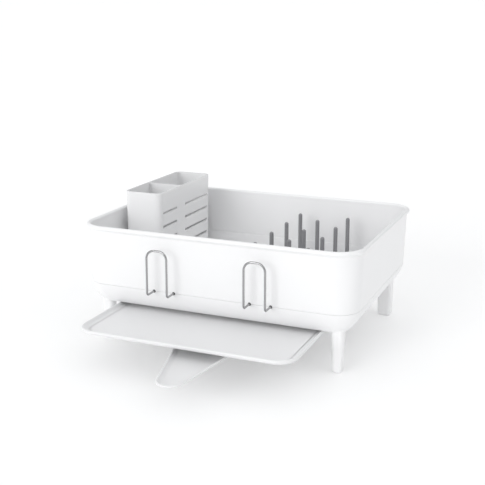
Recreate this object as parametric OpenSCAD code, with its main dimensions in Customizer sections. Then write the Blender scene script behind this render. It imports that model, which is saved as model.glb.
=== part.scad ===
// Countertop dish drying rack: a basin on four legs with a drip tray and a swivel spout below.
// Millimetres, +Z up. X runs left to right, the front of the rack faces -Y, z = 0 is the worktop.
// The modules are drawn about the centre of the rack; place() moves them to the part's origin.

/* [Rack] */
// Width over the rolled rim
rack_w = 416; // [390:2:440]
// Depth over the rolled rim
rack_d = 316; // [300:2:340]
// Corner radius of the rim, seen from above
corner_r = 40; // [38:1:48]
// Height of the rim above the worktop
rim_h = 173; // [155:1:180]
// Height of the seam between frame and base
seam_h = 87; // [85:1:91]
// Thickness of the floor of the base
floor_t = 3; // [2.4:0.2:4]
// Wall thickness of the frame
wall = 2.6; // [2.2:0.1:3]
// Radius of the rolled rim bead
bead_r = 3.2; // [2.8:0.1:3.6]

/* [Drip tray] */
// Width of the drip tray
tray_w = 309; // [290:1:309]
// Depth of the drip tray, front to back
tray_d = 290; // [270:1:300]
// Corner radius of the drip tray
tray_r = 28; // [20:1:34]
// How far the tray stands out in front of the rim at rest
tray_out = 95; // [60:1:115]

/* [Spout] */
// Distance from the swivel axis to the centre of the round tip
spout_reach = 222; // [200:1:235]
// Radius of the round tip
spout_tip_r = 18; // [15:0.5:20]
// Radius of the wide end round the swivel axis
spout_head_r = 49; // [46:1:54]
// Swing of the spout towards the right at rest
spout_angle = 3.4; // [0:0.1:20]

/* [Utensil caddy] */
// Width of the caddy at its rim
caddy_w = 61.5; // [56:0.5:62]
// Depth of the caddy at its rim
caddy_d = 178.5; // [160:0.5:180]
// Height of the caddy rim above the worktop
caddy_top = 201; // [190:1:206]

/* [Plate rack] */
// Distance between two pegs of one strip
peg_pitch = 64; // [60:1:66]
// Height of the peg tips above the worktop
peg_top = 151; // [136:1:156]
// Radius of a peg
peg_r = 3.1; // [2.8:0.1:3.5]

/* [Cup hooks] */
// Radius of the steel wire
wire_r = 1.5; // [1.5:0.1:1.8]
// Centre of each hook, left and right of the middle
hook_x = 72; // [60:1:80]
// Height of the wire's centre line at the top of the hook
hook_top = 151.5; // [141:0.5:156]

/* [Hidden] */
$fn = 48;

// Outlines are given as u, the distance outside the rim outline, and z
rim_overhang = 3.5;
wall_draft = 3;
bead_z = rim_h - bead_r;
seam_u = -rim_overhang - wall_draft;
seam_groove = 0.5;

// Curved side of the base: one large arc, then a small one into the flat underside
side_r = 50;
side_start = -10;
side_end = -48;
side_centre = [seam_u - side_r * cos(side_start), seam_h - side_r * sin(side_start)];
edge_r = 5;
edge_centre = side_centre + (side_r - edge_r) * [cos(side_end), sin(side_end)];
base_flat_u = edge_centre[0];
underside = edge_centre[1] - edge_r;
base_wall = 2.8;
floor_top = underside + floor_t;
inner_r = side_r - base_wall;
inner_floor_a = asin((floor_top - side_centre[1]) / inner_r);
lap_h = 13;
lap_gap = 0.3;
lap_top_u = seam_u - wall - 2.2;
lap_foot_u = seam_u - 7;
inner_top_a = -acos((lap_foot_u - side_centre[0]) / inner_r);

// Plate rack columns, and the drain slots and ribs of the floor that line up with them
strip_x = 72.5;
strip_gap = 39.25;
strip_w = 8;
strip_h = 5;
strip_front = -123;
strip_rear = 125;
bar_w = 5;
column = strip_gap / 2;
first_column = -12;
last_column = 5;
rib_h = 2;
rib_w = 3;
rib_len = 238;
slot_w = 5;
slot_len = 36;
slot_pitch = 46;
lift_gap = 0.3;
peg_first = -73;
peg_count = 4;

// Legs, foot pads and leg screws
leg_x = 174;
front_leg_y = -127;
rear_leg_y = 125;
front_leg_top = 17.6;
front_leg_foot = 13;
front_leg_corner = 7;
front_leg_round = 4;
rear_leg_top = 22;
rear_leg_foot = 20;
rear_leg_corner = 6;
rear_leg_round = 2.5;
front_pad_r = 3;
rear_pad_r = 6;
pad_h = 1.6;
pad_show = 0.4;
screw_x = 172;
front_screw_y = -126;
rear_screw_y = 124;
screw_r = 1.5;
screw_len = 22;
screw_head_r = 3.2;
screw_head_h = 2;

// Cup hooks and their sockets in the seam
hook_half = 15.2;
hook_arch_r = 12;
hook_plane_y = -rack_d / 2 - 13.5;
hook_bend_r = 4;
hook_insert = 12;
seam_y = -rack_d / 2 - seam_u;
socket_r = 2.3;
socket_len = 14;
socket_proud = 0.4;
socket_wall = 1.5;
socket_fit = 0.05;

// Utensil caddy, placed by its right front corner at the rim
caddy_right = -131.3;
caddy_front = -46.5;
caddy_r = 10;
caddy_wall = 2.2;
caddy_draft = 1.6;
caddy_foot = floor_top + rib_h + lift_gap;
caddy_h = caddy_top - caddy_foot;
caddy_x = caddy_right - caddy_w / 2;
caddy_y = caddy_front + caddy_d / 2;
caddy_cut_x = 12;
caddy_cut_z = 16;
divider_y = 31;
divider_t = 2;
divider_drop = 1;
vent_h = 4.2;
vent_top = 169;
vent_pitch = 21;
vent_rows = 4;
front_vent = [-37, 10];
rear_vent = [37, 119];
drain_r = 3;

// Drip tray and runners
tray_top = 56.8;
tray_bottom = 49.8;
tray_floor = 2.2;
tray_lip = 2.4;
tray_slope = 4;
tray_front = -rack_d / 2 - tray_out;
tray_y = tray_front + tray_d / 2;
outlet_x = 14;
outlet_y = tray_y + 5;
outlet_r = 14.5;
collar_r = 17;
collar_end = 40;
runner_t = 2;
runner_gap = 0.7;
runner_web = 3;
runner_reach = 7.5;
runner_front = -92;
runner_rear = 130;

// Spout, turning round the tray's collar
spout_top = 43.4;
spout_bottom = 36.9;
spout_wall = 2.2;
spout_floor = 1.8;
spout_shoulder = 72;
hub_r = 21;
hub_fit = 0.06;
hub_top = tray_bottom - lift_gap;
hub_bottom = 41.8;
foot_w = 4;
foot_reach = 30;
retainer_r = 20;
retainer_h = 1.2;

// The origin is below the middle of the whole object, with tray and spout drawn out
spout_tip_y = outlet_y - spout_reach * cos(spout_angle) - spout_tip_r;
origin_y = (rack_d / 2 + spout_tip_y) / 2;

shell_white = [0.95, 0.95, 0.95];
tray_white = [0.93, 0.93, 0.93];
peg_grey = [0.52, 0.52, 0.53];

// ---- Shared shapes ----

function arc(centre, r, from, to, steps) =
    [for (i = [0:steps]) let (a = from + (to - from) * i / steps) centre + r * [cos(a), sin(a)]];

module place() {
    translate([0, -origin_y, 0]) children();
}

module rounded_rect(w, d, r) {
    square([w - 2 * r, d], center = true);
    square([w, d - 2 * r], center = true);
    for (x = [-1, 1], y = [-1, 1])
        translate([x * (w / 2 - r), y * (d / 2 - r)]) circle(r);
}

// Carries a u, z profile round a rounded rectangle: four straight walls and four corners
module around(w, d, r) {
    for (side = [0, 1]) {
        mirror([side, 0, 0]) translate([w / 2, d / 2 - r, 0])
            rotate([90, 0, 0]) linear_extrude(d - 2 * r) children();
        mirror([0, side, 0]) rotate([0, 0, 90]) translate([d / 2, w / 2 - r, 0])
            rotate([90, 0, 0]) linear_extrude(w - 2 * r) children();
    }
    for (mx = [0, 1], my = [0, 1])
        mirror([mx, 0, 0]) mirror([0, my, 0]) translate([w / 2 - r, d / 2 - r, 0])
            rotate_extrude(angle = 90) translate([r, 0]) children();
}

// A slot with round ends along Y
module slot_y(w, len, h) {
    translate([-w / 2, -(len - w) / 2, 0]) cube([w, len - w, h]);
    for (s = [-1, 1]) translate([0, s * (len - w) / 2, 0]) cylinder(h = h, r = w / 2);
}

module socket_holes(r) {
    for (side = [-1, 1], leg = [-1, 1])
        translate([side * hook_x + leg * hook_half, seam_y - socket_proud, seam_h])
            rotate([-90, 0, 0]) cylinder(h = socket_len + 1, r = r);
}

module screw_holes(r) {
    for (side = [-1, 1], y = [front_screw_y, rear_screw_y])
        translate([side * screw_x, y, floor_top - screw_len]) cylinder(h = screw_len + 1, r = r);
}

// ---- Frame and base ----

module frame_profile() {
    inner_top = -rim_overhang - wall;
    polygon([
        [-rim_overhang, bead_z], [seam_u, seam_h + seam_groove], [seam_u - seam_groove, seam_h],
        [seam_u - wall, seam_h], [inner_top, bead_z]
    ]);
    translate([-bead_r, bead_z]) circle(bead_r);
}

module frame() {
    color(shell_white) place() difference() {
        around(rack_w, rack_d, corner_r) frame_profile();
        socket_holes(socket_r);
    }
}

// Outer side of the base, from the seam down to the flat underside
function base_side() = concat(
    [[seam_u - seam_groove, seam_h]],
    arc(side_centre, side_r, side_start - 1, side_end, 10),
    arc(edge_centre, edge_r, side_end - 10, -90, 3)
);

module base_profile() {
    lap_u = seam_u - wall - lap_gap;
    polygon(concat(
        base_side(),
        [[base_flat_u - 3, underside], [base_flat_u - 3, floor_top]],
        arc(side_centre, inner_r, inner_floor_a, inner_top_a, 7),
        [[lap_top_u, seam_h + lap_h - 0.8], [lap_top_u + 0.5, seam_h + lap_h],
         [lap_u - 0.3, seam_h + lap_h], [lap_u, seam_h + lap_h - 0.5], [lap_u, seam_h]]
    ));
}

module floor_plate() {
    translate([0, 0, underside]) linear_extrude(floor_top - underside)
        rounded_rect(rack_w + 2 * base_flat_u, rack_d + 2 * base_flat_u, corner_r + base_flat_u);
}

module base() {
    color(shell_white) place() difference() {
        union() {
            around(rack_w, rack_d, corner_r) base_profile();
            floor_plate();
            for (k = [first_column - 1:last_column])
                translate([strip_x + (k + 0.5) * column - rib_w / 2, -rib_len / 2, floor_top - 0.5])
                    cube([rib_w, rib_len, rib_h + 0.5]);
        }
        for (k = [first_column:last_column], row = [-2:2])
            if (k != -2 && k != 0 && k != 2)
                translate([strip_x + k * column, row * slot_pitch, underside - 1])
                    slot_y(slot_w, slot_len, floor_t + rib_h);
        socket_holes(socket_r);
        screw_holes(screw_r);
    }
}

// ---- Legs ----

// A tapered leg with rounded edges that stands against the flat underside of the base
module leg(x, y, top, foot, corner, round, pad_r) {
    taper = (top - foot) / 2;
    color(shell_white) place() difference() {
        translate([x, y, 0]) {
            around(top, top, corner) polygon(concat(
                [[-corner, pad_show]],
                arc([-taper - round, pad_show + round], round, -90, 0, 6),
                [[0, underside], [-corner, underside]]
            ));
            translate([0, 0, pad_show]) linear_extrude(underside - pad_show)
                square(top - 2 * corner, center = true);
        }
        translate([x, y, 0]) cylinder(h = pad_h, r = pad_r);
        screw_holes(screw_r);
    }
}

module foot_pad(x, y, pad_r) {
    color([0.8, 0.8, 0.8]) place() translate([x, y, 0]) cylinder(h = pad_h, r = pad_r);
}

module front_leg(side) {
    leg(side * leg_x, front_leg_y, front_leg_top, front_leg_foot,
        front_leg_corner, front_leg_round, front_pad_r);
}

module rear_leg(side) {
    leg(side * leg_x, rear_leg_y, rear_leg_top, rear_leg_foot,
        rear_leg_corner, rear_leg_round, rear_pad_r);
}

module leg_screws() {
    color("silver") place() for (side = [-1, 1], y = [front_screw_y, rear_screw_y])
        translate([side * screw_x, y, floor_top]) {
            translate([0, 0, -screw_len]) cylinder(h = screw_len + 0.5, r = screw_r);
            difference() {
                cylinder(h = screw_head_h, r = screw_head_r);
                for (turn = [0, 90]) rotate([0, 0, turn])
                    translate([-2, -0.4, screw_head_h - 0.9]) cube([4, 0.8, 2]);
            }
        }
}

// ---- Cup hooks ----

module hook_sockets() {
    bore_len = socket_len - socket_wall;
    color([0.35, 0.35, 0.36]) place() for (side = [-1, 1], leg = [-1, 1])
        translate([side * hook_x + leg * hook_half, seam_y - socket_proud, seam_h])
            rotate([-90, 0, 0]) difference() {
                cylinder(h = socket_len, r = socket_r);
                translate([0, 0, -1]) cylinder(h = bore_len + 1, r = wire_r + socket_fit);
            }
}

// A wire bent into an upside-down U, with both ends turned back into the seam
module cup_hook(side) {
    arch_z = hook_top - hook_arch_r;
    flat = 2 * (hook_half - hook_arch_r);
    run = seam_y + hook_insert - hook_plane_y - hook_bend_r;
    color("silver") place() translate([side * hook_x, hook_plane_y, 0]) {
        translate([-flat / 2, 0, hook_top]) rotate([0, 90, 0]) cylinder(h = flat, r = wire_r);
        for (turn = [0, 180]) rotate([0, 0, turn]) translate([flat / 2, 0, arch_z]) rotate([90, 0, 0])
            rotate_extrude(angle = 90) translate([hook_arch_r, 0]) circle(wire_r);
        for (leg = [-1, 1]) translate([leg * hook_half, 0, 0]) {
            translate([0, 0, seam_h + hook_bend_r])
                cylinder(h = arch_z - seam_h - hook_bend_r, r = wire_r);
            translate([0, hook_bend_r, seam_h + hook_bend_r]) rotate([0, -90, 0]) rotate([0, 0, 180])
                rotate_extrude(angle = 90) translate([hook_bend_r, 0]) circle(wire_r);
            translate([0, hook_bend_r, seam_h]) rotate([-90, 0, 0]) cylinder(h = run, r = wire_r);
        }
    }
}

// ---- Plate rack ----

module peg_strip(x, first) {
    rail_z = floor_top + lift_gap;
    color(peg_grey) place() {
        translate([x - strip_w / 2, strip_front, rail_z])
            cube([strip_w, strip_rear - strip_front, strip_h]);
        for (i = [0:peg_count - 1]) translate([x, first + i * peg_pitch, rail_z + strip_h - 1]) {
            cylinder(h = peg_top - peg_r - rail_z - strip_h + 1, r = peg_r);
            translate([0, 0, peg_top - peg_r - rail_z - strip_h + 1]) sphere(peg_r);
        }
    }
}

module peg_bar(y) {
    bar_len = 2 * strip_gap + strip_w;
    color(peg_grey) place() translate([strip_x - bar_len / 2, y, floor_top + lift_gap])
        cube([bar_len, bar_w, strip_h]);
}

// ---- Utensil caddy ----

// A block with rounded corners that narrows downwards, smaller by inset on every side
module caddy_block(inset, bottom, top) {
    w = caddy_w - 2 * inset;
    d = caddy_d - 2 * inset;
    r = caddy_r - inset;
    drop = caddy_draft * (caddy_top - bottom) / caddy_h;
    rise = caddy_draft * (caddy_top - top) / caddy_h;
    translate([caddy_x, caddy_y, 0]) {
        around(w, d, r) polygon([[-r + 0.01, bottom], [-drop, bottom], [-rise, top], [-r + 0.01, top]]);
        translate([0, 0, bottom]) linear_extrude(top - bottom) {
            square([w - 2 * r + 0.02, d - 2 * r + 0.02], center = true);
        }
    }
}

// Keeps the block clear of the curved side of the base at its lower left edge
module caddy_cut(inset) {
    left = caddy_x - caddy_w / 2 + inset;
    foot = caddy_foot + inset;
    translate([0, caddy_front + caddy_d + 10, 0]) rotate([90, 0, 0]) linear_extrude(caddy_d + 20)
        polygon([
            [left - 5, foot - 5], [left + caddy_cut_x, foot - 5], [left + caddy_cut_x + 1.5, foot],
            [left + 0.5, foot + caddy_cut_z], [left - 5, foot + caddy_cut_z]
        ]);
}

module caddy_vents(y_range) {
    for (row = [0:vent_rows - 1])
        translate([caddy_x - caddy_w / 2 - 1, y_range[0], vent_top - row * vent_pitch - vent_h / 2])
            cube([caddy_w + 2, y_range[1] - y_range[0], vent_h]);
}

module utensil_caddy() {
    color(shell_white) place() difference() {
        caddy_block(0, caddy_foot, caddy_top);
        caddy_cut(0);
        difference() {
            caddy_block(caddy_wall, caddy_foot + caddy_wall, caddy_top + 1);
            caddy_cut(caddy_wall);
        }
        caddy_vents(front_vent);
        caddy_vents(rear_vent);
        for (i = [-3:3]) translate([caddy_x + 6, caddy_y + i * 22, caddy_foot - 1])
            cylinder(h = caddy_wall + 2, r = drain_r);
    }
}

module caddy_divider() {
    color(shell_white) place() intersection() {
        difference() {
            caddy_block(caddy_wall, caddy_foot + caddy_wall, caddy_top - divider_drop);
            caddy_cut(caddy_wall);
        }
        translate([caddy_x - caddy_w, divider_y - divider_t / 2, 0])
            cube([2 * caddy_w, divider_t, caddy_top]);
    }
}

// ---- Drip tray and spout ----

module tray_runner(side) {
    web_x = tray_w / 2 + runner_gap;
    ledge_top = tray_bottom - lift_gap;
    color(shell_white) place() mirror([side < 0 ? 1 : 0, 0, 0]) {
        translate([web_x, runner_front, ledge_top - runner_t])
            cube([runner_web, runner_rear - runner_front, underside - ledge_top + runner_t]);
        translate([web_x - runner_reach, runner_front, ledge_top - runner_t])
            cube([runner_reach + 1, runner_rear - runner_front, runner_t]);
    }
}

module drip_tray() {
    floor_z = tray_bottom + tray_floor;
    floor_inset = tray_slope + 2;
    color(tray_white) place() translate([0, tray_y, 0]) difference() {
        union() {
            around(tray_w, tray_d, tray_r) polygon([
                [-tray_slope, tray_bottom], [-0.6, tray_top - 4], [0, tray_top - 1.2],
                [-0.4, tray_top - 0.3], [-1.2, tray_top], [-tray_lip + 0.4, tray_top - 0.3],
                [-tray_lip, tray_top - 1.2], [-tray_slope - 2.6, floor_z], [-tray_slope - 4, floor_z],
                [-tray_slope - 4, tray_bottom]
            ]);
            translate([0, 0, tray_bottom]) linear_extrude(tray_floor)
                rounded_rect(tray_w - 2 * floor_inset, tray_d - 2 * floor_inset, tray_r - floor_inset);
        }
        translate([outlet_x, outlet_y - tray_y, tray_bottom - 1]) cylinder(h = tray_floor + 2, r = outlet_r);
    }
}

// The round outlet under the tray's floor, which the spout turns on
module outlet_collar() {
    color(tray_white) place() translate([outlet_x, outlet_y, collar_end]) difference() {
        cylinder(h = tray_bottom - collar_end, r = collar_r);
        translate([0, 0, -1]) cylinder(h = tray_bottom - collar_end + 2, r = outlet_r);
    }
}

module spout_retainer() {
    color("dimgray") place() translate([outlet_x, outlet_y, hub_bottom - lift_gap - retainer_h])
        difference() {
            cylinder(h = retainer_h, r = retainer_r);
            translate([0, 0, -1]) cylinder(h = retainer_h + 2, r = collar_r);
        }
}

// Plan of the spout, larger by grow: a round-backed body that narrows to a round tip
module spout_plan(grow) {
    head = spout_head_r + grow;
    tip = spout_tip_r + grow;
    lean = asin((head - tip) / (spout_reach - spout_shoulder));
    polygon(concat(
        arc([0, -spout_reach], tip, 180 + lean, 360 - lean, 18),
        arc([0, -spout_shoulder], head, 360 - lean, 360, 2),
        arc([0, 0], head, 0, 180, 36),
        arc([0, -spout_shoulder], head, 180, 180 + lean, 2)
    ));
}

module swivel_spout() {
    color(tray_white) place() translate([outlet_x, outlet_y, 0]) rotate([0, 0, spout_angle]) difference() {
        translate([0, 0, spout_bottom]) linear_extrude(spout_top - spout_bottom) spout_plan(0);
        translate([0, 0, spout_bottom + spout_floor]) linear_extrude(spout_top) spout_plan(-spout_wall);
    }
}

// The ring that turns on the collar, on three feet that stand on the floor of the spout
module spout_hub() {
    foot_z = spout_bottom + spout_floor;
    foot_start = retainer_r + 0.4;
    color(tray_white) place() translate([outlet_x, outlet_y, 0]) rotate([0, 0, spout_angle]) {
        translate([0, 0, hub_bottom]) difference() {
            cylinder(h = hub_top - hub_bottom, r = hub_r);
            translate([0, 0, -1]) cylinder(h = hub_top - hub_bottom + 2, r = collar_r + hub_fit);
        }
        for (turn = [90:120:330]) rotate([0, 0, turn]) translate([foot_start, -foot_w / 2, foot_z])
            cube([foot_reach - foot_start, foot_w, spout_top - foot_z]);
    }
}

// ---- Nodes ----

frame();
base();
front_leg(-1);  // front_left_leg
front_leg(1);  // front_right_leg
rear_leg(-1);  // rear_left_leg
rear_leg(1);  // rear_right_leg
foot_pad(-leg_x, front_leg_y, front_pad_r);  // front_left_foot_pad
foot_pad(leg_x, front_leg_y, front_pad_r);  // front_right_foot_pad
foot_pad(-leg_x, rear_leg_y, rear_pad_r);  // rear_left_foot_pad
foot_pad(leg_x, rear_leg_y, rear_pad_r);  // rear_right_foot_pad
leg_screws();
hook_sockets();
cup_hook(-1);  // cup_hook_left
cup_hook(1);  // cup_hook_right
peg_strip(strip_x - strip_gap, peg_first);  // peg_strip_left
peg_strip(strip_x, peg_first - peg_pitch / 2);  // peg_strip_middle
peg_strip(strip_x + strip_gap, peg_first);  // peg_strip_right
peg_bar(strip_front - bar_w);  // peg_bar_front
peg_bar(strip_rear);  // peg_bar_rear
utensil_caddy();
caddy_divider();
tray_runner(-1);  // tray_runner_left
tray_runner(1);  // tray_runner_right
drip_tray();
outlet_collar();
swivel_spout();
spout_hub();
spout_retainer();
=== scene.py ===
import bpy
import bmesh
import math
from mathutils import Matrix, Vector


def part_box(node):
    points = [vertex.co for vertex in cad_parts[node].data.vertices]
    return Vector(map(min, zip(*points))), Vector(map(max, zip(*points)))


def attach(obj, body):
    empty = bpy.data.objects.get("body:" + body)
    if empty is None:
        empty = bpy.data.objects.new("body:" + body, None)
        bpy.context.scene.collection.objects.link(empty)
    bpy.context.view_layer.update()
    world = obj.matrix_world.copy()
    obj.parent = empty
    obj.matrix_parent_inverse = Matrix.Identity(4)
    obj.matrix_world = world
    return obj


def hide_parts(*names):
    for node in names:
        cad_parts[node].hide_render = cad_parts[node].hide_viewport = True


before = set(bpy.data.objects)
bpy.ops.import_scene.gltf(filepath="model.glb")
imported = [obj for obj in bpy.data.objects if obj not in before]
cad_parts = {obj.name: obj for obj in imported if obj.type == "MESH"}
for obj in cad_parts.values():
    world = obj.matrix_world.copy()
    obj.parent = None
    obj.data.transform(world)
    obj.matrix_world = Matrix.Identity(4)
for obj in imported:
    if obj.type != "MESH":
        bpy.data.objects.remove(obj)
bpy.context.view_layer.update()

# ---------------------------------------------------------------------------
# Sizes read from the frame, in metres
# ---------------------------------------------------------------------------

MM = 0.001


def low(node):
    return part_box(node)[0]


def high(node):
    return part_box(node)[1]


RIM_W = high("frame").x - low("frame").x
RIM_D = high("frame").y - low("frame").y
RIM_TOP = high("frame").z
RACK_Y = (high("frame").y + low("frame").y) / 2
SEAM_Z = low("frame").z
UNDER_Z = low("base").z
RIM_R = 40 * MM
FLOOR_THICKNESS = 3 * MM
FLOOR_TOP = UNDER_Z + FLOOR_THICKNESS
TRAY_W = high("drip_tray").x - low("drip_tray").x
TRAY_D = high("drip_tray").y - low("drip_tray").y
TRAY_Y = (high("drip_tray").y + low("drip_tray").y) / 2
TRAY_TOP = high("drip_tray").z
TRAY_HEIGHT = 7 * MM
TRAY_BOTTOM = TRAY_TOP - TRAY_HEIGHT
TRAY_R = 28 * MM
OUTLET_X = (high("outlet_collar").x + low("outlet_collar").x) / 2
OUTLET_Y = (high("outlet_collar").y + low("outlet_collar").y) / 2


# ---------------------------------------------------------------------------
# Mesh helpers
# ---------------------------------------------------------------------------

def arc(cx, cy, r, start, end, steps):
    """Points on a circle, angles in degrees."""
    turn = [math.radians(start + (end - start) * i / steps) for i in range(steps + 1)]
    return [(cx + r * math.cos(a), cy + r * math.sin(a)) for a in turn]


def rounded_path(w, d, r, cx=0.0, cy=0.0, corner_steps=14, wall_steps=6):
    """A rounded rectangle as (point, outward normal) pairs, anticlockwise."""
    path = []
    corners = [(1, 1, 0), (-1, 1, 90), (-1, -1, 180), (1, -1, 270)]
    for index, (sx, sy, start) in enumerate(corners):
        ccx, ccy = cx + sx * (w / 2 - r), cy + sy * (d / 2 - r)
        for i in range(corner_steps + 1):
            a = math.radians(start + 90 * i / corner_steps)
            n = Vector((math.cos(a), math.sin(a)))
            path.append((Vector((ccx, ccy)) + r * n, n))
        nsx, nsy, nstart = corners[(index + 1) % 4]
        a = math.radians(nstart)
        n = Vector((math.cos(a), math.sin(a)))
        first = path[-1][0]
        last = Vector((cx + nsx * (w / 2 - r), cy + nsy * (d / 2 - r))) + r * n
        for i in range(1, wall_steps):
            path.append((first.lerp(last, i / wall_steps), n))
    return path


def new_object(name, bm, smooth_angle=35):
    """Turns a bmesh into an object: smooth, with edges sharper than the angle kept hard."""
    bmesh.ops.recalc_face_normals(bm, faces=bm.faces)
    limit = math.radians(smooth_angle)
    for face in bm.faces:
        face.smooth = True
    for edge in bm.edges:
        if edge.is_manifold:
            edge.smooth = edge.calc_face_angle() < limit
    mesh = bpy.data.meshes.new(name)
    bm.to_mesh(mesh)
    bm.free()
    obj = bpy.data.objects.new(name, mesh)
    bpy.context.collection.objects.link(obj)
    weighted = obj.modifiers.new("weighted_normals", "WEIGHTED_NORMAL")
    weighted.keep_sharp = True
    return obj


def sweep(bm, path, profile, closed_profile=True, cap_first=False, cap_last=False):
    """Carries a profile of (u, z) points round a closed path of (point, normal) pairs."""
    rings = []
    for u, z in profile:
        rings.append([bm.verts.new((p.x + n.x * u, p.y + n.y * u, z)) for p, n in path])
    count = len(path)
    pairs = list(zip(rings, rings[1:]))
    if closed_profile:
        pairs.append((rings[-1], rings[0]))
    for a, b in pairs:
        for i in range(count):
            j = (i + 1) % count
            bm.faces.new((a[i], a[j], b[j], b[i]))
    if cap_first:
        bm.faces.new(rings[0])
    if cap_last:
        bm.faces.new(rings[-1])
    return rings


def lathe(bm, profile, cx, cy, steps=48, closed_profile=False):
    """Turns a profile of (r, z) points round a vertical axis; r = 0 becomes a pole."""
    rings = []
    for r, z in profile:
        if r < 1e-7:
            rings.append([bm.verts.new((cx, cy, z))])
        else:
            turn = [2 * math.pi * i / steps for i in range(steps)]
            rings.append([bm.verts.new((cx + r * math.cos(a), cy + r * math.sin(a), z)) for a in turn])
    pairs = list(zip(rings, rings[1:]))
    if closed_profile:
        pairs.append((rings[-1], rings[0]))
    for a, b in pairs:
        for i in range(steps):
            j = (i + 1) % steps
            if len(a) == 1 and len(b) == 1:
                continue
            if len(a) == 1:
                bm.faces.new((a[0], b[j], b[i]))
            elif len(b) == 1:
                bm.faces.new((a[i], a[j], b[0]))
            else:
                bm.faces.new((a[i], a[j], b[j], b[i]))


def rounded_bar(bm, lo, hi, r, steps=4):
    """A box with all its edges rounded."""
    made = bmesh.ops.create_cube(bm, size=1.0)
    verts = made["verts"]
    size = Vector(hi) - Vector(lo)
    for v in verts:
        v.co = Vector(lo) + Vector([(v.co[i] + 0.5) * size[i] for i in range(3)])
    edges = list(dict.fromkeys(e for v in verts for e in v.link_edges))
    bmesh.ops.bevel(
        bm, geom=edges, offset=r, segments=steps, profile=0.5,
        affect="EDGES", clamp_overlap=True
    )


# ---------------------------------------------------------------------------
# Materials
# ---------------------------------------------------------------------------

def material(name):
    mat = bpy.data.materials.new(name)
    mat.use_nodes = True
    nodes = mat.node_tree.nodes
    nodes.clear()
    out = nodes.new("ShaderNodeOutputMaterial")
    shader = nodes.new("ShaderNodeBsdfPrincipled")
    mat.node_tree.links.new(shader.outputs[0], out.inputs[0])
    return mat, shader


def add_noise(mat, vector, scale, detail):
    noise = mat.node_tree.nodes.new("ShaderNodeTexNoise")
    noise.inputs["Scale"].default_value = scale
    noise.inputs["Detail"].default_value = detail
    mat.node_tree.links.new(vector, noise.inputs["Vector"])
    return noise


def vary_colour(mat, shader, noise, dark, light):
    """Lets the base colour wander between two shades."""
    nodes, links = mat.node_tree.nodes, mat.node_tree.links
    tint = nodes.new("ShaderNodeMix")
    tint.data_type = "RGBA"
    tint.inputs["A"].default_value = (*dark, 1)
    tint.inputs["B"].default_value = (*light, 1)
    links.new(noise.outputs["Fac"], tint.inputs["Factor"])
    links.new(tint.outputs["Result"], shader.inputs["Base Color"])


def vary_gloss(mat, shader, noise, smoothest, roughest):
    """Lets the roughness wander between two values."""
    nodes, links = mat.node_tree.nodes, mat.node_tree.links
    gloss = nodes.new("ShaderNodeMapRange")
    gloss.inputs["To Min"].default_value = smoothest
    gloss.inputs["To Max"].default_value = roughest
    links.new(noise.outputs["Fac"], gloss.inputs["Value"])
    links.new(gloss.outputs["Result"], shader.inputs["Roughness"])


def add_bump(mat, shader, noise, strength, depth):
    nodes, links = mat.node_tree.nodes, mat.node_tree.links
    bump = nodes.new("ShaderNodeBump")
    bump.inputs["Strength"].default_value = strength
    bump.inputs["Distance"].default_value = depth
    links.new(noise.outputs["Fac"], bump.inputs["Height"])
    links.new(bump.outputs["Normal"], shader.inputs["Normal"])


PLASTIC_IOR = 1.49
FLOW_SCALE = 7
SCUFF_SCALE = 60
GRAIN_SCALE = 900
GRAIN_DEPTH = 0.2 * MM


def moulded_plastic(name, light, dark, rough, texture=0.05):
    """Moulded plastic: faint flow marks in colour and gloss, and a fine spark-eroded texture."""
    mat, shader = material(name)
    place = mat.node_tree.nodes.new("ShaderNodeTexCoord").outputs["Object"]
    flow = add_noise(mat, place, FLOW_SCALE, 4)
    vary_colour(mat, shader, flow, dark, light)
    scuff = add_noise(mat, place, SCUFF_SCALE, 6)
    vary_gloss(mat, shader, scuff, rough - 0.05, rough + 0.06)
    grain = add_noise(mat, place, GRAIN_SCALE, 2)
    add_bump(mat, shader, grain, texture, GRAIN_DEPTH)
    shader.inputs["IOR"].default_value = PLASTIC_IOR
    return mat


DRAWN_LINE_SCALE = 900
DRAWN_LINE_DEPTH = 0.1 * MM
CLOUD_SCALE = 40
CLOUD_SHADE = 0.86


def steel(name, base, rough, stretch):
    """Stainless steel: fine lines, drawn out by stretch, break the reflection up."""
    mat, shader = material(name)
    nodes, links = mat.node_tree.nodes, mat.node_tree.links
    place = nodes.new("ShaderNodeTexCoord").outputs["Object"]
    drawn = nodes.new("ShaderNodeMapping")
    drawn.inputs["Scale"].default_value = stretch
    links.new(place, drawn.inputs["Vector"])
    lines = add_noise(mat, drawn.outputs["Vector"], DRAWN_LINE_SCALE, 3)
    cloud = add_noise(mat, place, CLOUD_SCALE, 2)
    vary_colour(mat, shader, cloud, [c * CLOUD_SHADE for c in base], base)
    vary_gloss(mat, shader, lines, rough - 0.06, rough + 0.08)
    add_bump(mat, shader, lines, 0.06, DRAWN_LINE_DEPTH)
    shader.inputs["Metallic"].default_value = 1.0
    return mat


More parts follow.
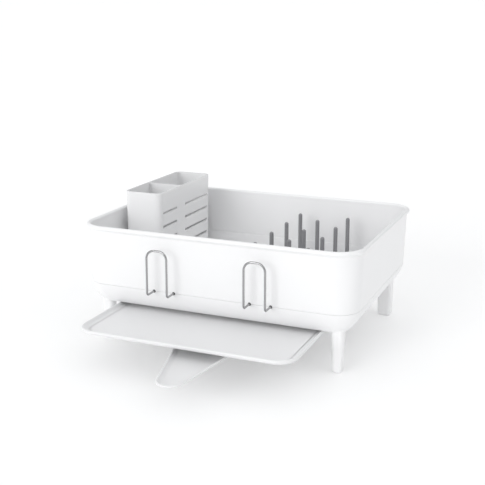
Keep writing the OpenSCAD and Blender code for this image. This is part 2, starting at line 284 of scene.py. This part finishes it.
SHELL = moulded_plastic("shell_white", (0.90, 0.90, 0.905), (0.88, 0.88, 0.885), 0.30)
CADDY = moulded_plastic("caddy_white", (0.89, 0.89, 0.895), (0.865, 0.865, 0.87), 0.24)
TRAY = moulded_plastic("tray_white", (0.835, 0.835, 0.84), (0.815, 0.815, 0.82), 0.36, texture=0.08)
PEG = moulded_plastic("peg_grey", (0.27, 0.27, 0.28), (0.23, 0.23, 0.24), 0.42, texture=0.1)
# The hook sockets are real parts, but their near-black colour is painted shade for the dark holes round the
# wire ends.
DARK = moulded_plastic("socket_dark", (0.05, 0.05, 0.052), (0.035, 0.035, 0.036), 0.5, texture=0.15)
RING = moulded_plastic("ring_grey", (0.32, 0.32, 0.33), (0.28, 0.28, 0.29), 0.45, texture=0.1)
RUBBER = moulded_plastic("foot_rubber", (0.62, 0.62, 0.63), (0.54, 0.54, 0.55), 0.7, texture=0.3)
# The hook wire's colour is darker than bare steel. This is a painted reflection that stands in for the dark
# studio the wire would mirror.
WIRE = steel("steel_wire", (0.42, 0.42, 0.425), 0.2, (1.0, 1.0, 0.05))
SCREW = steel("steel_screw", (0.66, 0.66, 0.66), 0.3, (1.0, 1.0, 1.0))


def dress(obj, mat, body, nodes=()):
    """Gives a new piece its material and its body, and hides the CAD nodes it stands for."""
    obj.data.materials.clear()
    obj.data.materials.append(mat)
    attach(obj, body)
    if nodes:
        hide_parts(*nodes)
    return obj


SHARP_ANGLE = 40


def repaint(node, mat, edge=0.0):
    """Gives a CAD node that stays its procedural material, and can break its sharp edges."""
    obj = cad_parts[node]
    obj.data.materials.clear()
    obj.data.materials.append(mat)
    if edge:
        bevel = obj.modifiers.new("broken_edges", "BEVEL")
        bevel.width = edge
        bevel.segments = 3
        bevel.limit_method = "ANGLE"
        bevel.angle_limit = math.radians(SHARP_ANGLE)
        bevel.harden_normals = True


# ---------------------------------------------------------------------------
# Camera, lights and floor
# ---------------------------------------------------------------------------

# Camera position from the middle of the rack's footprint, at the worktop
CAMERA_FROM_RACK = Vector((0.503, -1.2296, 0.486))
CAMERA_AZIMUTH = 22.93
CAMERA_PITCH = 11.5
CAMERA_LENS = 67.86
CAMERA_SHIFT_Y = -0.117
CAMERA_SENSOR = 36
CAMERA_NEAR, CAMERA_FAR = 0.01, 5000


def make_camera():
    data = bpy.data.cameras.new("camera")
    cam = bpy.data.objects.new("camera", data)
    bpy.context.collection.objects.link(cam)
    data.sensor_width = CAMERA_SENSOR
    data.lens = CAMERA_LENS
    data.shift_y = CAMERA_SHIFT_Y
    data.clip_start = CAMERA_NEAR
    data.clip_end = CAMERA_FAR
    a, e = math.radians(CAMERA_AZIMUTH), math.radians(CAMERA_PITCH)
    looking = Vector((-math.sin(a) * math.cos(e), math.cos(a) * math.cos(e), -math.sin(e)))
    cam.rotation_mode = "QUATERNION"
    cam.rotation_quaternion = looking.to_track_quat("-Z", "Y")
    cam.location = CAMERA_FROM_RACK + Vector((0, RACK_Y, 0))
    bpy.context.scene.camera = cam


def make_sun(name, towards_light, strength, spread):
    """A very soft sun: towards_light points from the object to the middle of the light."""
    data = bpy.data.lights.new(name, "SUN")
    data.energy = strength
    data.angle = math.radians(spread)
    lamp = bpy.data.objects.new(name, data)
    bpy.context.collection.objects.link(lamp)
    lamp.rotation_mode = "QUATERNION"
    lamp.rotation_quaternion = Vector(towards_light).to_track_quat("Z", "Y")


# The sky's strength by the height of the direction, which is 0 at the horizon and 1 overhead
HORIZON_BAND = 0.02
SKY_FULL_FROM = 0.6
SKY_LOW, SKY_HIGH = 0.35, 0.93
SKY_COLOUR = (0.985, 0.992, 1.0, 1)


def grey(value):
    return (value, value, value, 1)


def make_world():
    """A white studio: bright overhead, dimmer low down, with a thin white band at the horizon."""
    world = bpy.data.worlds.new("studio")
    world.use_nodes = True
    nodes, links = world.node_tree.nodes, world.node_tree.links
    sky = nodes["Background"]
    place = nodes.new("ShaderNodeTexCoord")
    parts = nodes.new("ShaderNodeSeparateXYZ")
    links.new(place.outputs["Generated"], parts.inputs["Vector"])
    fall = nodes.new("ShaderNodeValToRGB")
    ramp = fall.color_ramp
    ramp.elements[0].position = HORIZON_BAND
    ramp.elements[1].position = SKY_FULL_FROM
    ramp.elements[0].color = grey(1)
    ramp.elements[1].color = grey(SKY_HIGH)
    ramp.elements.new(2 * HORIZON_BAND).color = grey(SKY_LOW)
    links.new(parts.outputs["Z"], fall.inputs["Fac"])
    links.new(fall.outputs["Color"], sky.inputs["Strength"])
    sky.inputs["Color"].default_value = SKY_COLOUR
    bpy.context.scene.world = world


FLOOR_HALF = 3000.0
FLOOR_SHADE = 0.95
FLOOR_ROUGHNESS = 0.8
FLOOR_GLOW = 0.125


def make_stage():
    bm = bmesh.new()
    corners = [(-1, -1), (1, -1), (1, 1), (-1, 1)]
    bm.faces.new([bm.verts.new((x * FLOOR_HALF, y * FLOOR_HALF, 0)) for x, y in corners])
    floor = new_object("floor", bm)
    mat, shader = material("floor_white")
    shader.inputs["Base Color"].default_value = grey(FLOOR_SHADE)
    shader.inputs["Roughness"].default_value = FLOOR_ROUGHNESS
    shader.inputs["Specular IOR Level"].default_value = 0.1
    shader.inputs["Emission Color"].default_value = grey(1)
    shader.inputs["Emission Strength"].default_value = FLOOR_GLOW
    floor.data.materials.append(mat)
    make_world()
    make_sun("key", (-0.3, -0.93, 0.24), 1.0, 30)
    make_sun("fill", (0.8, -0.1, 0.55), 0.12, 40)
    view = bpy.context.scene.view_settings
    view.view_transform = "Standard"
    view.look = "None"


# ---------------------------------------------------------------------------
# Frame: the wall band with its rolled rim
# ---------------------------------------------------------------------------

BEAD_R = 3.2 * MM
OVERHANG = 3.5 * MM
WALL = 2.6 * MM
SEAM_U = -6.5 * MM
GROOVE = 0.9 * MM


def rim_path():
    return rounded_path(RIM_W, RIM_D, RIM_R, cy=RACK_Y, corner_steps=20)


def build_frame():
    bead_z = RIM_TOP - BEAD_R
    crook = 2.0 * MM
    wall_top = bead_z - BEAD_R - crook
    top_u = -OVERHANG - 0.2 * MM
    outer = [
        (SEAM_U - GROOVE, SEAM_Z), (SEAM_U - 0.3 * MM, SEAM_Z + 0.25 * MM),
        (SEAM_U, SEAM_Z + GROOVE)
    ]
    crook_out = [(top_u, wall_top), (top_u + 0.25 * MM, wall_top + 0.9 * MM)]
    bead = arc(-BEAD_R, bead_z, BEAD_R, -70, 200, 22)
    inner_top = top_u - WALL
    inside = [
        (inner_top, wall_top + 0.9 * MM), (SEAM_U - WALL, SEAM_Z + 0.4 * MM),
        (SEAM_U - WALL + 0.3 * MM, SEAM_Z)
    ]
    bm = bmesh.new()
    sweep(bm, rim_path(), outer + crook_out + bead + inside)
    dress(new_object("frame_band", bm), SHELL, "rack", ["frame"])


# ---------------------------------------------------------------------------
# Base: curved tub, floor with drain slots, ribs
# ---------------------------------------------------------------------------

SIDE_R = 50 * MM
SIDE_START = -10
SIDE_END = -48
EDGE_R = 5 * MM
SIDE_U = SEAM_U - SIDE_R * math.cos(math.radians(SIDE_START))
SIDE_Z = SEAM_Z - SIDE_R * math.sin(math.radians(SIDE_START))
EDGE_U = SIDE_U + (SIDE_R - EDGE_R) * math.cos(math.radians(SIDE_END))
EDGE_Z = SIDE_Z + (SIDE_R - EDGE_R) * math.sin(math.radians(SIDE_END))
BASE_WALL = 2.8 * MM
INNER_R = SIDE_R - BASE_WALL
LAP_TOP = high("base").z


def base_floor_outline():
    return RIM_W + 2 * EDGE_U, RIM_D + 2 * EDGE_U, RIM_R + EDGE_U


def build_base_shell():
    outer = [
        (SEAM_U - GROOVE - 1 * MM, SEAM_Z), (SEAM_U - GROOVE, SEAM_Z - 0.1 * MM),
        (SEAM_U - 0.3 * MM, SEAM_Z - 0.3 * MM)
    ]
    outer += arc(SIDE_U, SIDE_Z, SIDE_R, SIDE_START - 1, SIDE_END, 16)
    outer += arc(EDGE_U, EDGE_Z, EDGE_R, SIDE_END - 6, -90, 6)
    floor_a = math.degrees(math.asin((FLOOR_TOP + 0.6 * MM - SIDE_Z) / INNER_R))
    lap_foot = SEAM_U - 7 * MM
    top_a = -math.degrees(math.acos((lap_foot - SIDE_U) / INNER_R))
    under = [(EDGE_U - 2 * MM, UNDER_Z), (EDGE_U - 2 * MM, FLOOR_TOP)]
    inner = arc(SIDE_U, SIDE_Z, INNER_R, floor_a, top_a, 10)
    foot_u = inner[0][0]
    inner = [(foot_u - 1.4 * MM, FLOOR_TOP), (foot_u - 0.5 * MM, FLOOR_TOP + 0.15 * MM)] + inner
    lap_u = SEAM_U - WALL - 2.2 * MM
    lap = [(lap_u, LAP_TOP - 0.8 * MM), (lap_u + 0.25 * MM, LAP_TOP - 0.2 * MM), (lap_u + 0.8 * MM, LAP_TOP)]
    lap_out = SEAM_U - WALL - 0.3 * MM
    lap += [(lap_out - 0.4 * MM, LAP_TOP), (lap_out, LAP_TOP - 0.4 * MM), (lap_out, SEAM_Z)]
    bm = bmesh.new()
    sweep(bm, rim_path(), outer + under + inner + lap)
    return dress(new_object("base_shell", bm), SHELL, "rack", ["base"])


def loop_spline(curve, points):
    spline = curve.splines.new("POLY")
    spline.points.add(len(points) - 1)
    for p, (x, y) in zip(spline.points, points):
        p.co = (x, y, 0, 1)
    spline.use_cyclic_u = True


def slot_outline(cx, cy, w, length, steps=6):
    r = w / 2
    straight = length / 2 - r
    return arc(cx, cy + straight, r, 0, 180, steps) + arc(cx, cy - straight, r, 180, 360, steps)


def plate_from_outlines(name, outlines, z_low, z_high, edge):
    """A flat plate with holes and softly rounded edges, from closed outlines."""
    curve = bpy.data.curves.new(name, "CURVE")
    curve.dimensions = "2D"
    curve.fill_mode = "BOTH"
    curve.extrude = (z_high - z_low) / 2 - edge
    curve.bevel_depth = edge
    curve.bevel_resolution = 2
    curve.offset = -edge
    for points in outlines:
        loop_spline(curve, points)
    holder = bpy.data.objects.new(name + "_curve", curve)
    bpy.context.collection.objects.link(holder)
    graph = bpy.context.evaluated_depsgraph_get()
    mesh = bpy.data.meshes.new_from_object(holder.evaluated_get(graph))
    bpy.data.objects.remove(holder)
    bpy.data.curves.remove(curve)
    bm = bmesh.new()
    bm.from_mesh(mesh)
    bpy.data.meshes.remove(mesh)
    bmesh.ops.remove_doubles(bm, verts=bm.verts, dist=1e-6)
    bmesh.ops.translate(bm, verts=bm.verts, vec=(0, 0, (z_low + z_high) / 2))
    return bm


STRIP_X = (low("peg_strip_middle").x + high("peg_strip_middle").x) / 2
STRIP_GAP = (low("peg_strip_right").x + high("peg_strip_right").x) / 2 - STRIP_X
COLUMN = STRIP_GAP / 2
# Slots stand in columns counted from the middle peg strip; the strips cover three of them
FIRST_COLUMN, LAST_COLUMN = -12, 5
STRIP_COLUMNS = (-2, 0, 2)
SLOT_ROWS = range(-2, 3)
SLOT_W, SLOT_LEN, SLOT_PITCH = 5 * MM, 36 * MM, 46 * MM
RIB_W, RIB_HALF_LEN, RIB_H, RIB_SUNK = 3 * MM, 119 * MM, 2 * MM, 1 * MM


def build_base_floor():
    w, d, r = base_floor_outline()
    outlines = [[tuple(p) for p, n in rounded_path(w, d, r, cy=RACK_Y, wall_steps=2)]]
    for k in range(FIRST_COLUMN, LAST_COLUMN + 1):
        if k in STRIP_COLUMNS:
            continue
        for row in SLOT_ROWS:
            slot_y = RACK_Y + row * SLOT_PITCH
            outlines.append(slot_outline(STRIP_X + k * COLUMN, slot_y, SLOT_W, SLOT_LEN))
    bm = plate_from_outlines("base_floor", outlines, UNDER_Z + 0.05 * MM, FLOOR_TOP - 0.02 * MM, 0.5 * MM)
    dress(new_object("base_floor", bm), SHELL, "rack")


def build_floor_ribs():
    bm = bmesh.new()
    for k in range(FIRST_COLUMN - 1, LAST_COLUMN + 1):
        x = STRIP_X + (k + 0.5) * COLUMN
        rounded_bar(
            bm, (x - RIB_W / 2, RACK_Y - RIB_HALF_LEN, FLOOR_TOP - RIB_SUNK),
            (x + RIB_W / 2, RACK_Y + RIB_HALF_LEN, FLOOR_TOP + RIB_H), 0.9 * MM
        )
    dress(new_object("floor_ribs", bm), SHELL, "rack")


# ---------------------------------------------------------------------------
# Legs, foot pads, screws
# ---------------------------------------------------------------------------

def skin_z(p):
    """Height of the outer skin of the base above a point of the worktop."""
    dx = abs(p.x) - (RIM_W / 2 - RIM_R)
    dy = abs(p.y - RACK_Y) - (RIM_D / 2 - RIM_R)
    outside = math.hypot(dx, dy) if dx > 0 and dy > 0 else max(dx, dy)
    u = outside - RIM_R
    if u <= EDGE_U:
        return UNDER_Z
    return SIDE_Z - math.sqrt(SIDE_R ** 2 - (u - SIDE_U) ** 2)


LEG_OVERLAP = 1.2 * MM


def build_leg(node, corner, bottom_r, taper):
    """A tapered leg whose top runs into the curved skin of the base."""
    lo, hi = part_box(node)
    w = hi.x - lo.x
    cx, cy = (lo.x + hi.x) / 2, (lo.y + hi.y) / 2
    path = rounded_path(w, w, corner, cx, cy, corner_steps=8, wall_steps=2)
    foot = [(-taper - bottom_r, lo.z)] + arc(-taper - bottom_r, lo.z + bottom_r, bottom_r, -75, 0, 7)
    shank_top = hi.z - 2 * MM
    profile = foot + [(-taper * 0.5, (lo.z + shank_top) / 2), (0, shank_top), (0, hi.z)]
    bm = bmesh.new()
    rings = sweep(bm, path, profile, closed_profile=False, cap_first=True, cap_last=True)
    for v in rings[-1]:
        v.co.z = skin_z(v.co) + LEG_OVERLAP
    dress(new_object(node + "_moulding", bm), SHELL, "rack", [node])


def build_foot_pad(node):
    lo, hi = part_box(node)
    r = (hi.x - lo.x) / 2
    cx, cy = (lo.x + hi.x) / 2, (lo.y + hi.y) / 2
    profile = [
        (0, lo.z), (r - 0.5 * MM, lo.z), (r - 0.15 * MM, lo.z + 0.15 * MM),
        (r, lo.z + 0.5 * MM), (r, hi.z), (0, hi.z)
    ]
    bm = bmesh.new()
    lathe(bm, profile, cx, cy, steps=40)
    dress(new_object(node + "_rubber", bm), RUBBER, "rack", [node])


# ---------------------------------------------------------------------------
# Cup hooks
# ---------------------------------------------------------------------------

WIRE_R = 1.5 * MM
HOOK_ARCH_R = 12 * MM
HOOK_BEND_R = 4 * MM
HOOK_STUB = 6 * MM
SOCKET_BORE = 1.56 * MM
SOCKET_BOTTOM = 1.5 * MM


def wire_path(node):
    """Centre line of a hook: out of one socket, up round the bend, over the top and back in."""
    lo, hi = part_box(node)
    cx = (lo.x + hi.x) / 2
    half = (hi.x - lo.x) / 2 - WIRE_R
    plane = lo.y + WIRE_R
    seat = lo.z + WIRE_R
    top = hi.z - WIRE_R
    bend_y, bend_z = plane + HOOK_BEND_R, seat + HOOK_BEND_R
    right = [Vector((half, hi.y, seat)), Vector((half, bend_y + HOOK_STUB, seat))]
    right += [Vector((half, y, z)) for y, z in arc(bend_y, bend_z, HOOK_BEND_R, 270, 180, 8)]
    right.append(Vector((half, plane, (seat + top) / 2)))
    arch = arc(half - HOOK_ARCH_R, top - HOOK_ARCH_R, HOOK_ARCH_R, 0, 90, 12)
    right += [Vector((x, plane, z)) for x, z in arch]
    left = [Vector((-p.x, p.y, p.z)) for p in reversed(right)]
    return [p + Vector((cx, 0, 0)) for p in right + left]


def tube(bm, points, r, sides=20):
    """A round tube along a path that never runs parallel to its own frame's side vector."""
    rings = []
    side = Vector((0, 0, 1))
    for i, p in enumerate(points):
        ahead = points[min(i + 1, len(points) - 1)] - points[max(i - 1, 0)]
        ahead.normalize()
        side = (side - ahead * side.dot(ahead)).normalized()
        other = ahead.cross(side)
        turn = [2 * math.pi * k / sides for k in range(sides)]
        rings.append([bm.verts.new(p + r * (math.cos(a) * side + math.sin(a) * other)) for a in turn])
    for a, b in zip(rings, rings[1:]):
        for i in range(sides):
            j = (i + 1) % sides
            bm.faces.new((a[i], a[j], b[j], b[i]))
    bm.faces.new(rings[0])
    bm.faces.new(rings[-1])


def build_hook(node, body):
    bm = bmesh.new()
    tube(bm, wire_path(node), WIRE_R)
    dress(new_object(node + "_wire", bm, smooth_angle=50), WIRE, body, [node])


def build_sockets():
    lo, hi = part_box("hook_sockets")
    z = (lo.z + hi.z) / 2
    r = (hi.z - lo.z) / 2
    length = hi.y - lo.y
    bottom = SOCKET_BOTTOM - length
    profile = [
        (0, bottom), (SOCKET_BORE + 0.2 * MM, bottom), (SOCKET_BORE, 0),
        (SOCKET_BORE + 0.25 * MM, 0.1 * MM), (r - 0.5 * MM, 0.1 * MM), (r, -0.3 * MM),
        (r, -length), (0, -length)
    ]
    bm = bmesh.new()
    for node in ("cup_hook_left", "cup_hook_right"):
        hlo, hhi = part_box(node)
        for x in (hlo.x + WIRE_R, hhi.x - WIRE_R):
            start = len(bm.verts)
            lathe(bm, profile, 0, 0, steps=32)
            bm.verts.ensure_lookup_table()
            for v in bm.verts[start:]:
                x0, y0, z0 = v.co
                v.co = Vector((x + x0, lo.y - z0, z + y0))
    dress(new_object("hook_socket_plugs", bm), DARK, "rack", ["hook_sockets"])


# ---------------------------------------------------------------------------
# Plate rack
# ---------------------------------------------------------------------------

PEG_R = 3.1 * MM
PEG_PITCH = 64 * MM
PEG_FIRST = -73 * MM
PEGS_PER_STRIP = 4
RAIL_H = 5 * MM
RAIL_EDGE = 1.0 * MM


def build_strip(node, first_y):
    """A rail with a row of pins, each with a small fillet at its foot and a domed tip."""
    lo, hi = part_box(node)
    x = (lo.x + hi.x) / 2
    rail_top = lo.z + RAIL_H
    foot = [
        (PEG_R + 0.8 * MM, rail_top - 0.6 * MM), (PEG_R + 0.6 * MM, rail_top + 0.1 * MM),
        (PEG_R + 0.15 * MM, rail_top + 1 * MM), (PEG_R, rail_top + 2.4 * MM)
    ]
    tip = arc(0, hi.z - PEG_R, PEG_R, 0, 90, 10)
    tip[-1] = (0.0, hi.z)
    bm = bmesh.new()
    rounded_bar(bm, lo, (hi.x, hi.y, rail_top), RAIL_EDGE)
    for i in range(PEGS_PER_STRIP):
        lathe(bm, foot + tip, x, RACK_Y + first_y + i * PEG_PITCH, steps=28)
    dress(new_object(node + "_moulding", bm), PEG, "plate_rack", [node])


def build_bar(node):
    lo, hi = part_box(node)
    bm = bmesh.new()
    rounded_bar(bm, lo, hi, RAIL_EDGE)
    dress(new_object(node + "_moulding", bm), PEG, "plate_rack", [node])


# ---------------------------------------------------------------------------
# Drip tray, spout
# ---------------------------------------------------------------------------

OUTLET_R = 14.5 * MM
COLLAR_R = 17 * MM
TRAY_SLOPE = 4 * MM
TRAY_FLOOR = 2.2 * MM
TRAY_LIP_R = 1.6 * MM


def build_tray():
    floor_z = TRAY_BOTTOM + TRAY_FLOOR
    lip = [
        (-TRAY_SLOPE - 3 * MM, TRAY_BOTTOM), (-TRAY_SLOPE - 0.6 * MM, TRAY_BOTTOM + 0.05 * MM),
        (-TRAY_SLOPE + 0.6 * MM, TRAY_BOTTOM + 0.5 * MM), (-2.0 * MM, TRAY_BOTTOM + 1.6 * MM),
        (-0.5 * MM, TRAY_TOP - 4 * MM), (-0.1 * MM, TRAY_TOP - 3.2 * MM)
    ]
    lip += arc(-TRAY_LIP_R, TRAY_TOP - TRAY_LIP_R, TRAY_LIP_R, -5, 170, 12)
    lip += [
        (-TRAY_SLOPE - 0.6 * MM, floor_z + 1.8 * MM), (-TRAY_SLOPE - 1.6 * MM, floor_z + 0.8 * MM),
        (-TRAY_SLOPE - 3.0 * MM, floor_z + 0.2 * MM), (-TRAY_SLOPE - 5 * MM, floor_z),
        (-TRAY_SLOPE - 7 * MM, floor_z), (-TRAY_SLOPE - 7 * MM, TRAY_BOTTOM)
    ]
    bm = bmesh.new()
    sweep(bm, rounded_path(TRAY_W, TRAY_D, TRAY_R, cy=TRAY_Y, corner_steps=16), lip)
    dress(new_object("drip_tray_rim", bm), TRAY, "tray", ["drip_tray"])
    inset = TRAY_SLOPE + 6 * MM
    w, d, r = TRAY_W - 2 * inset, TRAY_D - 2 * inset, TRAY_R - inset
    border = [tuple(p) for p, n in rounded_path(w, d, r, cy=TRAY_Y, wall_steps=2)]
    hole_steps = 48
    last = 360 - 360 / hole_steps
    hole = arc(OUTLET_X, OUTLET_Y, OUTLET_R + 0.5 * MM, 0, last, hole_steps - 1)
    bm = plate_from_outlines("drip_tray_floor", [border, hole], TRAY_BOTTOM, floor_z, 0.3 * MM)
    dress(new_object("drip_tray_floor", bm), TRAY, "tray")
    end = low("outlet_collar").z
    collar = [
        (OUTLET_R, end + 0.3 * MM), (OUTLET_R + 0.3 * MM, end), (COLLAR_R - 0.4 * MM, end),
        (COLLAR_R, end + 0.4 * MM), (COLLAR_R, TRAY_BOTTOM - 0.6 * MM),
        (COLLAR_R + 0.6 * MM, TRAY_BOTTOM + 0.02 * MM), (COLLAR_R + 0.6 * MM, floor_z - 0.4 * MM),
        (OUTLET_R + 0.7 * MM, floor_z - 0.1 * MM), (OUTLET_R, floor_z - 0.8 * MM)
    ]
    bm = bmesh.new()
    lathe(bm, collar, OUTLET_X, OUTLET_Y, steps=64, closed_profile=True)
    dress(new_object("tray_outlet_collar", bm), TRAY, "tray", ["outlet_collar"])


def build_retainer():
    lo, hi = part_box("spout_retainer")
    outer = (hi.x - lo.x) / 2
    profile = [
        (COLLAR_R, lo.z), (outer - 0.3 * MM, lo.z), (outer, lo.z + 0.3 * MM),
        (outer, hi.z - 0.3 * MM), (outer - 0.3 * MM, hi.z), (COLLAR_R, hi.z)
    ]
    bm = bmesh.new()
    lathe(bm, profile, OUTLET_X, OUTLET_Y, steps=64, closed_profile=True)
    dress(new_object("spout_snap_ring", bm), RING, "tray", ["spout_retainer"])


SPOUT_BOTTOM = low("swivel_spout").z
SPOUT_TOP = high("swivel_spout").z
SPOUT_FLOOR = 1.8 * MM
SPOUT_LIP_R = 1.5 * MM
SPOUT_REACH = 222 * MM
SPOUT_SHOULDER = 72 * MM
HEAD_R = 49 * MM
TIP_R = 18 * MM
SPOUT_ANGLE = math.radians(3.4)
HUB_R = 21 * MM
HUB_CLEARANCE = 0.06 * MM
HUB_FOOT_ANGLES = (90, 210, 330)


def arc_with_normals(centre_y, r, start, end, steps):
    """An arc about (0, centre_y) as (point, outward normal) pairs, angles in degrees."""
    normals = [Vector(n) for n in arc(0, 0, 1, start, end, steps)]
    return [(Vector((0, centre_y)) + r * n, n) for n in normals]


def turned(v):
    """A plan vector turned from straight ahead to the spout's direction at rest."""
    c, s = math.cos(SPOUT_ANGLE), math.sin(SPOUT_ANGLE)
    return Vector((c * v.x - s * v.y, s * v.x + c * v.y))


def spout_path():
    """Plan outline of the spout as (point, outward normal) pairs, anticlockwise, turned to rest."""
    lean = math.degrees(math.asin((HEAD_R - TIP_R) / (SPOUT_REACH - SPOUT_SHOULDER)))
    raw = arc_with_normals(-SPOUT_REACH, TIP_R, 180 + lean, 360 - lean, 24)
    raw += arc_with_normals(-SPOUT_SHOULDER, HEAD_R, 360 - lean, 360, 5)
    raw += arc_with_normals(0, HEAD_R, 0, 180, 36)
    raw += arc_with_normals(-SPOUT_SHOULDER, HEAD_R, 180, 180 + lean, 5)
    return [(turned(p) + Vector((OUTLET_X, OUTLET_Y)), turned(n)) for p, n in raw]


def build_spout():
    floor_z = SPOUT_BOTTOM + SPOUT_FLOOR
    profile = [
        (-12 * MM, SPOUT_BOTTOM), (-9.4 * MM, SPOUT_BOTTOM), (-8.3 * MM, SPOUT_BOTTOM + 0.2 * MM),
        (-7.4 * MM, SPOUT_BOTTOM + 0.7 * MM), (-0.6 * MM, SPOUT_TOP - 2.8 * MM)
    ]
    profile += arc(-SPOUT_LIP_R, SPOUT_TOP - SPOUT_LIP_R, SPOUT_LIP_R, -20, 190, 12)
    profile += [(-5.4 * MM, floor_z + 1.0 * MM), (-6.6 * MM, floor_z + 0.35 * MM), (-8.4 * MM, floor_z)]
    bm = bmesh.new()
    sweep(bm, spout_path(), profile, closed_profile=False, cap_first=True, cap_last=True)
    dress(new_object("spout_trough", bm), TRAY, "spout", ["swivel_spout"])
    build_hub(floor_z)


def build_hub(floor_z):
    """The ring that turns on the collar, with feet that stand on the spout's floor."""
    hub_low, hub_high = low("spout_hub").z, high("spout_hub").z
    bore = COLLAR_R + HUB_CLEARANCE
    ring = [
        (bore, hub_low + 0.3 * MM), (bore + 0.3 * MM, hub_low),
        (HUB_R - 0.5 * MM, hub_low), (HUB_R, hub_low + 0.5 * MM),
        (HUB_R, hub_high - 0.5 * MM), (HUB_R - 0.5 * MM, hub_high),
        (bore + 0.3 * MM, hub_high), (bore, hub_high - 0.3 * MM)
    ]
    bm = bmesh.new()
    lathe(bm, ring, 0, 0, steps=64, closed_profile=True)
    for turn in HUB_FOOT_ANGLES:
        start = len(bm.verts)
        rounded_bar(bm, (20.4 * MM, -2 * MM, floor_z), (30 * MM, 2 * MM, SPOUT_TOP), 0.8 * MM)
        bm.verts.ensure_lookup_table()
        a = math.radians(turn)
        for v in bm.verts[start:]:
            x, y, z = v.co
            v.co = Vector((x * math.cos(a) - y * math.sin(a), x * math.sin(a) + y * math.cos(a), z))
    for v in bm.verts:
        plan = turned(v.co)
        v.co = Vector((plan.x + OUTLET_X, plan.y + OUTLET_Y, v.co.z))
    dress(new_object("spout_hub_ring", bm), TRAY, "spout", ["spout_hub"])


RUNNER_WEB = 3 * MM
RUNNER_LEDGE = 2 * MM
RUNNER_EDGE = 0.5 * MM


def build_runner(node):
    """An L: an upright web on the outer side, and a ledge inwards that the tray slides on."""
    lo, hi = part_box(node)
    on_right = hi.x > 0
    web = (hi.x - RUNNER_WEB, hi.x) if on_right else (lo.x, lo.x + RUNNER_WEB)
    ledge = (lo.x, hi.x - 1 * MM) if on_right else (lo.x + 1 * MM, hi.x)
    ledge_top = lo.z + RUNNER_LEDGE
    bm = bmesh.new()
    rounded_bar(bm, (web[0], lo.y, lo.z), (web[1], hi.y, hi.z), RUNNER_EDGE, steps=2)
    rounded_bar(bm, (ledge[0], lo.y, lo.z), (ledge[1], hi.y, ledge_top), RUNNER_EDGE, steps=2)
    dress(new_object(node + "_moulding", bm), SHELL, "rack", [node])


# ---------------------------------------------------------------------------
# Build
# ---------------------------------------------------------------------------

make_camera()
make_stage()
build_frame()
build_base_shell()
build_base_floor()
build_floor_ribs()
for side_name in ("left", "right"):
    build_leg(f"front_{side_name}_leg", 7 * MM, 4 * MM, 2.3 * MM)
    build_leg(f"rear_{side_name}_leg", 5 * MM, 2.5 * MM, 1 * MM)
    build_foot_pad(f"front_{side_name}_foot_pad")
    build_foot_pad(f"rear_{side_name}_foot_pad")
    build_hook(f"cup_hook_{side_name}", f"hook_{side_name}")
    build_runner(f"tray_runner_{side_name}")
build_sockets()
build_strip("peg_strip_left", PEG_FIRST)
build_strip("peg_strip_middle", PEG_FIRST - PEG_PITCH / 2)
build_strip("peg_strip_right", PEG_FIRST)
for bar_node in ("peg_bar_front", "peg_bar_rear"):
    build_bar(bar_node)
build_tray()
build_retainer()
build_spout()
repaint("leg_screws", SCREW)
repaint("utensil_caddy", CADDY, 0.7 * MM)
repaint("caddy_divider", CADDY, 0.5 * MM)
